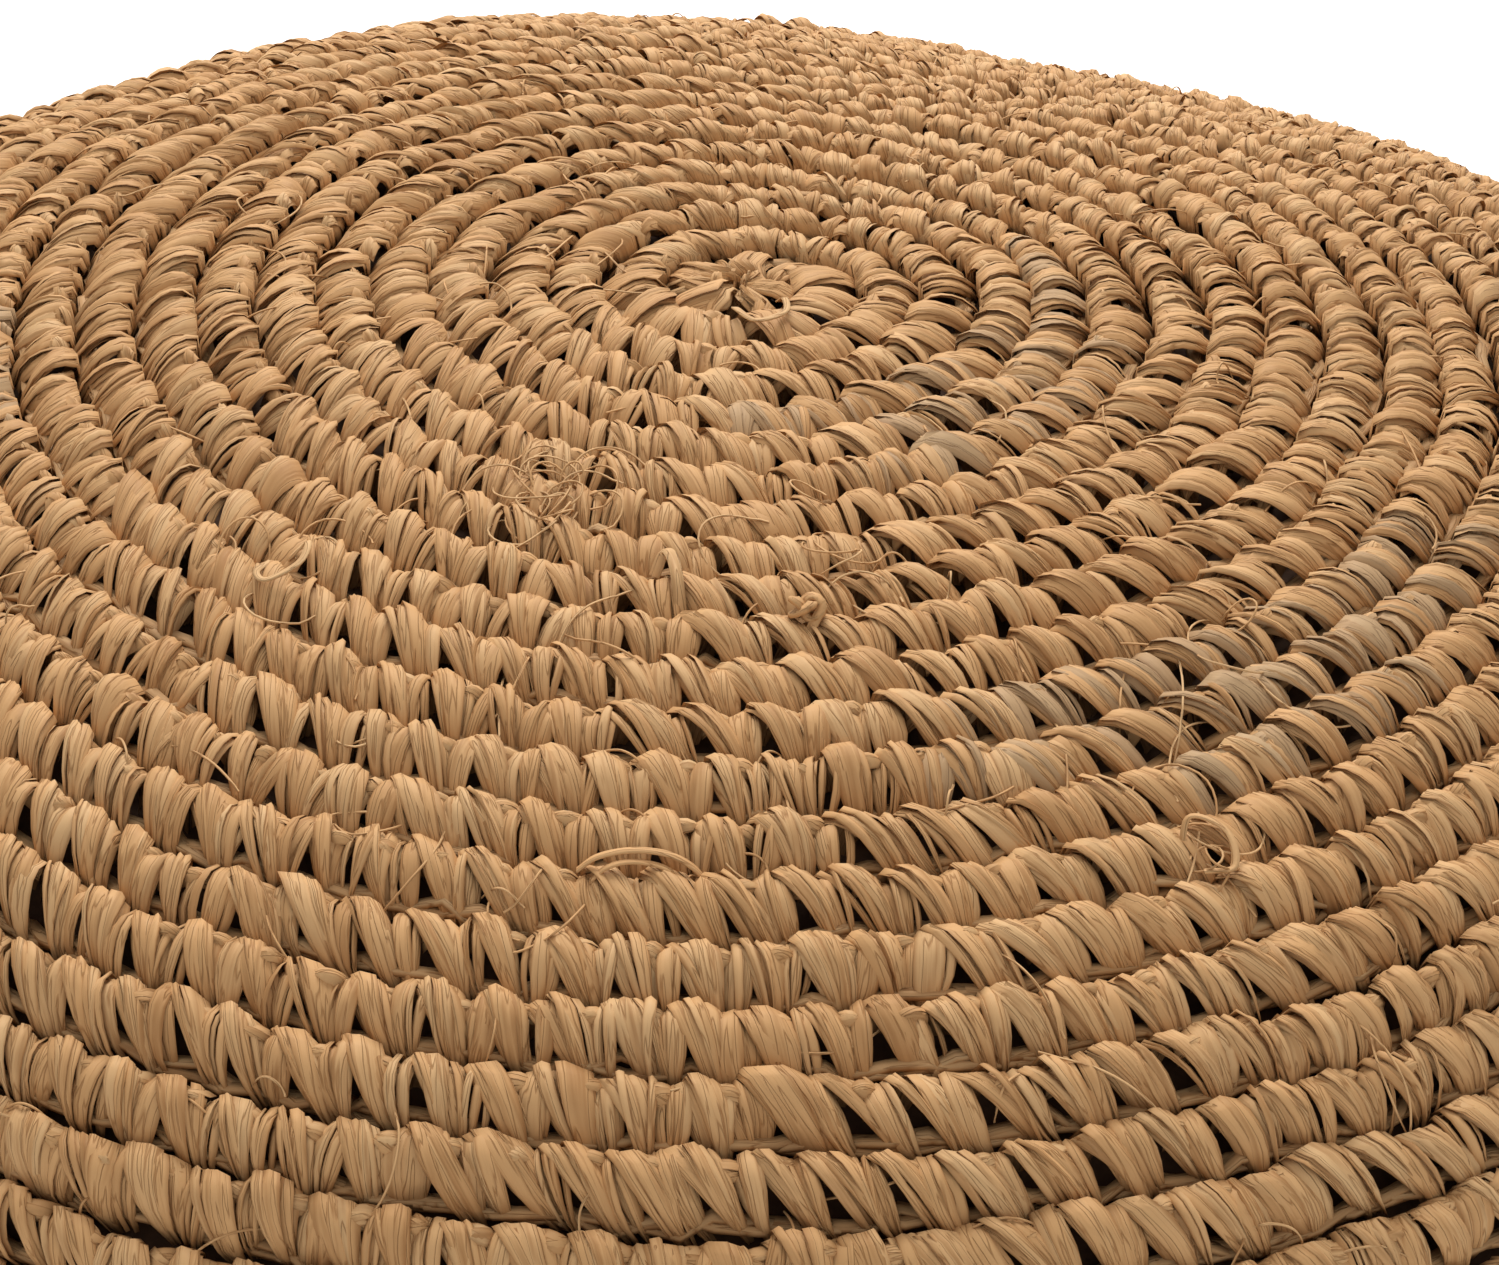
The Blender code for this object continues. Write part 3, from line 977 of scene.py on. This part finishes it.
def strands_tree():
    """Thickens guide lines into twisted strands with wavering paths."""
    tree, steps, given = new_tree(
        "Laid strands",
        [
            ("Line", "NodeSocketGeometry"),
            ("Material", "NodeSocketMaterial"),
            ("Strands", "NodeSocketInt"),
            ("Spread", "NodeSocketFloat"),
            ("Width", "NodeSocketFloat"),
            ("Thickness", "NodeSocketFloat"),
            ("Depth", "NodeSocketFloat"),
            ("Seed", "NodeSocketInt"),
        ],
    )
    lines = steps.out("GeometryNodeMeshToCurve", {"Mesh": given["Line"]})
    lines = steps.out("GeometryNodeSetCurveNormal", {"Curve": lines}, mode="Z_UP")
    copies = steps.node(
        "GeometryNodeDuplicateElements", {"Geometry": lines, "Amount": given["Strands"]}, domain="SPLINE"
    )
    number = steps.out("GeometryNodeInputIndex")
    lines = steps.store(Field(tree, copies.outputs["Geometry"]), "strand", number, "INT", "CURVE")
    lines = steps.store(lines, "along", steps.out("GeometryNodeSplineParameter", output="Length"))
    strand = steps.named("strand", "INT")
    place = steps.out("GeometryNodeInputPosition")
    shift = steps.join(strand * 3.7, strand * 1.9, given["Seed"] * 1.0)
    spot = steps.out("ShaderNodeVectorMath", {0: place, 1: shift}, operation="ADD")
    noise = steps.out("ShaderNodeTexNoise", {"Vector": spot, "Scale": 160.0, "Detail": 1.0}, "Color")
    centred = steps.out("ShaderNodeVectorMath", {0: noise, 1: (0.5, 0.5, 0.5)}, operation="SUBTRACT")
    sway = {0: centred, "Scale": given["Spread"] * 2.0}
    sway = steps.out("ShaderNodeVectorMath", sway, operation="SCALE")
    lines = steps.out("GeometryNodeSetPosition", {"Geometry": lines, "Offset": sway})
    outline = {"Width": given["Width"], "Height": given["Thickness"]}
    outline = steps.out("GeometryNodeCurvePrimitiveQuadrilateral", outline)
    across, _, _ = steps.split(steps.out("GeometryNodeInputPosition"))
    outline = steps.store(outline, "across", across)
    tubes = {"Curve": lines, "Profile Curve": outline, "Fill Caps": True}
    tubes = steps.out("GeometryNodeCurveToMesh", tubes)
    chart = steps.join(steps.named("across") * 1000.0, steps.named("along") * 1000.0, 0.0)
    tubes = steps.store(tubes, "UVMap", chart, "FLOAT2", "CORNER")
    tubes = steps.store(tubes, "grain", steps.chance(0.0, 100.0, strand, given["Seed"] + 1))
    tubes = steps.store(tubes, "tone", steps.chance(0.3, 1.0, strand, given["Seed"]))
    # a fixed Depth for the whole piece, which the material turns into painted shade
    tubes = steps.store(tubes, "depth", given["Depth"])
    close_tree(tree, tubes, given["Material"])
    return tree


STRANDS = strands_tree()
STANDING_OFF = 0.3  # the Depth of a leaf that lies on the work, in rounds: high enough that it gets no painted shade
CORE_STRANDS = 3
CORE_LEAF = (0.0016, 0.0007)  # width and thickness of a strand
CORE_SPREAD = 0.0032  # how far the strands wander from their line
CORE_SHADE = -0.12  # their Depth, which gives them painted shade for lying deep between the rounds
CORE_STEP = 0.0042  # between the points of the strands along the spiral
CORE_PLACE = 0.80  # rounds outwards from where a stitch comes up
CORE_DEPTH = 0.17  # rounds under the mean surface


def lay_leaf(name, guide, raffia, size, seed, *nodes, strands=1, spread=0.0, depth=STANDING_OFF):
    """Turns a guide line into a piece of leaf and takes the guide away."""
    width, thickness = size
    given = {
        "Material": raffia,
        "Strands": strands,
        "Spread": spread,
        "Width": width,
        "Thickness": thickness,
        "Depth": depth,
        "Seed": seed,
    }
    piece = run_tree(name, STRANDS, guide, given)
    bpy.data.objects.remove(guide)
    finish_piece(piece, "raffia", *nodes)


def lay_strands(name, node, face, last_round, raffia):
    """The loops that each stitch is worked through lie along the spiral, deep between the rounds."""
    turns = [1.0]
    while turns[-1] < last_round:
        around = 2 * math.pi * np.interp(turns[-1] * ROUND_PITCH, face.length, face.radius)
        turns.append(turns[-1] + CORE_STEP / around)
    turns = np.array(turns)
    degrees = (90.0 - 360.0 * turns) * face.hand
    path = face.place(turns - CREST_PLACE + CORE_PLACE, degrees, -CORE_DEPTH * ROUND_PITCH)
    guide = paths_mesh(name + "_guide", [list(zip(*path))])
    laid = {"strands": CORE_STRANDS, "spread": CORE_SPREAD, "depth": CORE_SHADE}
    lay_leaf(name, guide, raffia, CORE_LEAF, 5, node, **laid)


class Face:
    """Places on a face: rounds from the middle, degrees round the pad, and the lift off the work."""

    def __init__(self, section, hand=1.0):
        self.radius, self.height = section
        self.length = lengths_along(section)
        self.slope = slopes_along(section)
        self.hand = hand

    def place(self, rounds, degrees, lift):
        distance = abs(rounds) * ROUND_PITCH
        slope = np.interp(distance, self.length, self.slope)
        far = np.interp(distance, self.length, self.radius) - lift * np.sin(slope) * self.hand
        level = np.interp(distance, self.length, self.height) + lift * np.cos(slope) * self.hand
        angle = np.radians(degrees)
        return far * np.cos(angle), far * np.sin(angle), level


def paths_mesh(name, paths):
    """Lines through the points of each path, as edges."""
    verts = []
    edges = []
    for path in paths:
        first = len(verts)
        verts.extend(path)
        edges.extend((index, index + 1) for index in range(first, len(verts) - 1))
    mesh = bpy.data.meshes.new(name)
    mesh.from_pydata(verts, edges, [])
    return add_object(name, mesh)


# Loose fibres
FIBRES = 420
FIBRE = (0.00026, 0.00018)  # width and thickness
FIBRE_STEPS = 16
FIBRES_REACH_TO = 24.0  # rounds from the middle
FIBRE_ROOT = 0.0025  # how deep in the work a fibre starts


def wandering_fibre(face, rounds, degrees, reach, lift, bend):
    """A loose end that comes out of the work, rises, curls and settles."""
    heading = RANDOM.uniform(0, 2 * math.pi)
    out, around = rounds * ROUND_PITCH, 0.0
    points = []
    for step in range(FIBRE_STEPS + 1):
        share = step / FIBRE_STEPS
        far = max(np.interp(abs(out), face.length, face.radius), ROUND_PITCH)
        arch = lift * math.sin(math.pi * min(share * 1.15, 1.0))
        rise = CREST_HEIGHT * 0.6 + arch - FIBRE_ROOT * (1 - share) ** 3
        points.append(face.place(out / ROUND_PITCH, degrees + math.degrees(around / far), rise))
        heading += bend * RANDOM.uniform(0.6, 1.4) / FIBRE_STEPS
        out += math.cos(heading) * reach / FIBRE_STEPS
        around += math.sin(heading) * reach / FIBRE_STEPS
    return points


# Frayed places: (rounds from the middle, degrees, how many fibres, spread in rounds)
FRAYED = [
    (7.9, -111.5, 26, 0.45),
    (11.4, -126.0, 4, 0.4),
    (12.8, -54.4, 3, 0.5),
    (15.8, -66.0, 5, 0.4),
    (8.6, -80.0, 6, 0.8),
]


def loose_fibres(raffia):
    """Fine fibres that have come loose all over the upper face."""
    face = Face(top_section())
    paths = []
    for _ in range(FIBRES):
        rounds = FIBRES_REACH_TO * math.sqrt(RANDOM.uniform(0.003, 1.0))
        size = RANDOM.uniform(0.0, 1.0) ** 2
        bend = RANDOM.normal(0.0, 1.6)
        degrees = RANDOM.uniform(0, 360)
        lift = RANDOM.uniform(0.0, 0.0022)
        paths.append(wandering_fibre(face, rounds, degrees, 0.006 + 0.016 * size, lift, bend))
    for rounds, degrees, count, spread in FRAYED:
        for _ in range(count):
            place = rounds + RANDOM.normal(0.0, spread)
            turned = degrees + RANDOM.normal(0.0, spread * 3.0)
            bend = RANDOM.choice([-1, 1]) * RANDOM.uniform(2.0, 6.5)
            reach = RANDOM.uniform(0.010, 0.022)
            lift = RANDOM.uniform(0.001, 0.0035)
            paths.append(wandering_fibre(face, place, turned, reach, lift, bend))
    lay_leaf("loose_fibres", paths_mesh("fibre_paths", paths), raffia, FIBRE, 3)


# Leaves that stand off the work: width, then (rounds from the middle, degrees, lift in mm)
LAID_LEAVES = [
    (0.0010, [(1.0, -100, 2.0), (1.35, -96, 3.4), (1.8, -84, 3.6),
              (1.65, -66, 3.8), (1.1, -52, 3.2), (0.75, -40, 1.0)]),
    (0.0010, [(15.3, -98.0, 1.4), (15.2, -97.0, 3.2), (15.1, -95.4, 3.8),
              (15.1, -93.6, 3.7), (15.2, -92.2, 2.6), (15.3, -91.4, 0.5)]),
    (0.0008, [(15.5, -97.4, 1.0), (15.35, -96.4, 3.2), (15.25, -95.0, 3.5),
              (15.3, -93.4, 3.0), (15.5, -92.4, 1.0)]),
    (0.0009, [(11.0, -128.0, 1.0), (10.8, -126.6, 3.8), (11.3, -125.0, 4.4),
              (11.8, -126.0, 3.8), (11.7, -127.6, 3.2), (11.3, -128.2, 2.2)]),
    (0.0016, [(9.2, -98.0, 0.5), (9.0, -97.2, 3.4), (9.25, -96.2, 3.9),
              (9.7, -95.4, 3.0), (10.1, -94.8, -1.5)]),
    (0.0008, [(15.6, -67.0, 1.0), (15.3, -66.2, 3.8), (15.7, -65.0, 4.6),
              (16.2, -65.4, 3.8), (16.1, -66.8, 2.8)]),
]
LAID_LEAF_THICKNESS = 0.00022
LAID_LEAF_POINTS = 28
KNOT_PLACE = (10.3, -84.7)  # rounds from the middle, degrees
KNOTTED_LEAF = (0.0013, 0.0006)  # width and thickness
KNOT_TURN = 0.0011  # half the width of the tube that the leaf winds round in the knot
KNOT_POINTS = 40


def knot(face, rounds, degrees):
    """A small overhand knot in the leaf, with its two short tails."""
    middle = Vector(face.place(rounds, degrees, CREST_HEIGHT + 0.0012))
    points = [face.place(rounds + 0.55, degrees - 0.6, 0.0005)]
    for share in np.linspace(0.0, 1.0, KNOT_POINTS):
        turn = 2 * math.pi * share
        ring = KNOT_TURN * (2.0 + math.cos(3 * turn))
        around = Vector((math.cos(2 * turn), math.sin(2 * turn) * 0.8, 0.0)) * ring * 0.62
        points.append(middle + around + Vector((0.0, -0.0004, KNOT_TURN * math.sin(3 * turn))))
    points.append(face.place(rounds - 0.35, degrees + 0.9, 0.0005))
    return [tuple(point) for point in points]


def laid_leaves(raffia):
    """A few leaves that arch off the work, and the knot."""
    face = Face(top_section())
    for number, (width, path) in enumerate(LAID_LEAVES):
        places = [face.place(rounds, degrees, lift / 1000) for rounds, degrees, lift in path]
        places = [tuple(place) for place in smooth_line(places, LAID_LEAF_POINTS)]
        guide = paths_mesh("leaf_path", [places])
        lay_leaf(f"standing_leaf_{number + 1}", guide, raffia, (width, LAID_LEAF_THICKNESS), number)
    guide = paths_mesh("knot_path", [knot(face, *KNOT_PLACE)])
    lay_leaf("leaf_knot", guide, raffia, KNOTTED_LEAF, 2)


CASE_INSET = 0.0049  # under the mean surface of the work, before the case is stuffed
CASE_SWELL = 0.0010  # the most that stuffing moves the cloth
CASE_RINGS = 25  # of cloth in each of its two discs
CASE_SEGMENTS = 120
SEAM_REACH = 0.0015  # how far from the rim's height the seam holds the cloth
PRESSURE = 4.0
STUFFING_FRAMES = 20


def case_rings():
    """(radius, height) of the rings of the case, from its crown over the rim to its underside."""
    outline = []
    for section, hand in ((top_section(), 1.0), (underside_section(), -1.0)):
        radius, height = section
        slope = slopes_along(section)
        far = radius + CASE_INSET * np.sin(slope) * hand
        level = height - CASE_INSET * np.cos(slope) * hand
        keep = np.linspace(0, len(far) - 1, CASE_RINGS + 1).astype(int)[1:]
        outline.append(list(zip(far[keep], level[keep])))
    return outline[0] + outline[1][::-1][1:]


def turned(name, rings, segments):
    """A closed mesh turned about Z, with a pole in the middle of each end."""
    verts = [(0.0, 0.0, rings[0][1])]
    for far, level in rings:
        for step in range(segments):
            angle = 2 * math.pi * step / segments
            verts.append((far * math.cos(angle), far * math.sin(angle), level))
    verts.append((0.0, 0.0, rings[-1][1]))
    faces = []
    for step in range(segments):
        following = (step + 1) % segments
        faces.append((0, 1 + step, 1 + following))
        for ring in range(len(rings) - 1):
            first = 1 + ring * segments
            second = first + segments
            faces.append((first + step, second + step, second + following, first + following))
        first = 1 + (len(rings) - 1) * segments
        faces.append((first + following, first + step, len(verts) - 1))
    mesh = bpy.data.meshes.new(name)
    mesh.from_pydata(verts, [], faces)
    return add_object(name, mesh)


def inner_cushion(cotton):
    """The dark cotton case: two discs sewn at the rim and stuffed, by cloth simulation."""
    case = turned("inner_case", case_rings(), CASE_SEGMENTS)
    puff(case)
    case.data.shade_smooth()
    case.data.materials.append(cotton)
    finish_piece(case, "inner_case", "inner_case_top", "inner_case_underside", fill=FILL)


def puff(case):
    """Stuffs a closed piece of cloth, held at its seam, and keeps it close to where it started."""
    mesh = case.data
    before = np.empty(len(mesh.vertices) * 3)
    mesh.vertices.foreach_get("co", before)
    before = before.reshape(-1, 3)
    seam = case.vertex_groups.new(name="seam")
    rim = [vertex.index for vertex in mesh.vertices if abs(vertex.co.z - RIM_HEIGHT) < SEAM_REACH]
    seam.add(rim, 1.0, "REPLACE")
    cloth = case.modifiers.new("cloth", "CLOTH")
    cloth.settings.use_pressure = True
    cloth.settings.uniform_pressure_force = PRESSURE
    cloth.settings.effector_weights.gravity = 0.0
    cloth.settings.vertex_group_mass = "seam"
    cloth.settings.quality = 5
    cloth.point_cache.frame_start = 1
    cloth.point_cache.frame_end = STUFFING_FRAMES
    for frame_number in range(1, STUFFING_FRAMES + 1):
        bpy.context.scene.frame_set(frame_number)
    stuffed = case.evaluated_get(bpy.context.evaluated_depsgraph_get())
    after = np.empty(len(mesh.vertices) * 3)
    stuffed.to_mesh().vertices.foreach_get("co", after)
    stuffed.to_mesh_clear()
    moved = after.reshape(-1, 3) - before
    case.modifiers.remove(cloth)
    far = np.linalg.norm(moved, axis=1, keepdims=True)
    moved *= np.minimum(1.0, CASE_SWELL / np.maximum(far, 1e-9))
    mesh.vertices.foreach_set("co", (before + moved).ravel())
    mesh.update()
    bpy.context.scene.frame_set(1)


def stuffing(name, material, slot):
    """A copy of a hidden soft solid with its corners joined, settled with the cover."""
    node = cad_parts[name]
    mesh = node.data.copy()
    mesh.transform(node.matrix_world)
    piece = add_object(name + "_fill", mesh)
    form = bmesh.new()
    form.from_mesh(mesh)
    bmesh.ops.remove_doubles(form, verts=form.verts, dist=1e-6)
    bmesh.ops.recalc_face_normals(form, faces=form.faces)
    form.to_mesh(mesh)
    form.free()
    mesh.materials.clear()
    mesh.materials.append(material)
    finish_piece(piece, slot, name, fill=FILL)


def main():
    camera()
    stage()
    leaf = leaf_group()
    raffia = raffia_material(leaf, "raffia")
    covers(raffia)
    loose_fibres(raffia)
    laid_leaves(raffia)
    cotton = cloth_material("dark_cotton", (0.045, 0.020, 0.009), (0.105, 0.048, 0.021), 900.0)
    inner_cushion(cotton)
    fluff = cloth_material("polyester_wadding", (0.70, 0.69, 0.66), (0.85, 0.84, 0.82), 260.0)
    foam = cloth_material("seat_foam", (0.72, 0.66, 0.46), (0.82, 0.77, 0.58), 700.0)
    stuffing("wadding_top", fluff, "wadding")
    stuffing("wadding_underside", fluff, "wadding")
    stuffing("foam_core", foam, "foam")


main()
